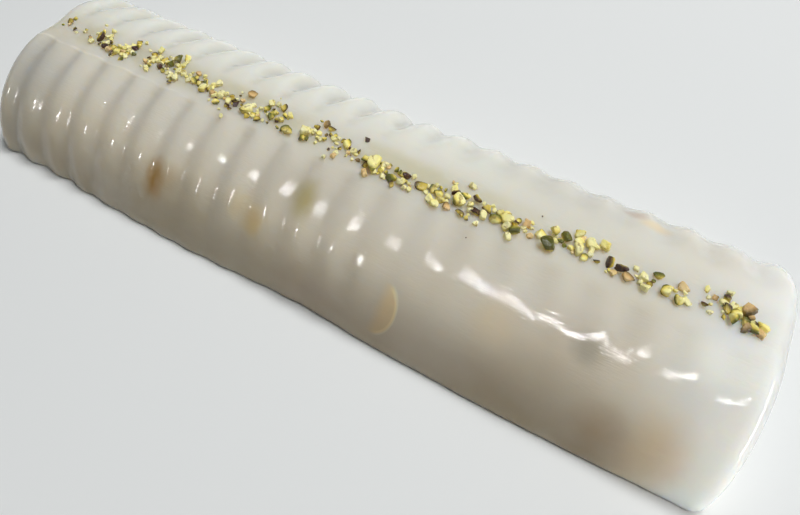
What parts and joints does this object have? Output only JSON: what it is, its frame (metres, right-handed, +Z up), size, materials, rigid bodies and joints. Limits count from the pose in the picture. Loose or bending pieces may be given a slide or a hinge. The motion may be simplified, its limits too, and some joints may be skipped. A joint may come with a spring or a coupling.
{
  "type": "gelatin dessert",
  "caption": "Milk jelly log turned out of a ribbed half-round loaf mould, with a line of chopped pistachio along its top.",
  "frame": {"origin": "centre of the log's flat base, on the surface that it rests on", "axes": "+X along the log, towards the end where the near side's ribs are shallow; +Z up; -Y the side that the picture shows"},
  "size_m": [0.3024, 0.094, 0.0404],
  "materials": {
    "milk_jelly": "translucent milk-white set jelly with a wet gloss",
    "pistachio": "dry broken nut, pale yellow to green with some dark skin",
    "soaked_fruit": "soft wet fruit, seen dimly through the jelly"
  },
  "bodies": {
    "root": {"jelly_log": "milk_jelly"}
  },
  "joints": []
}
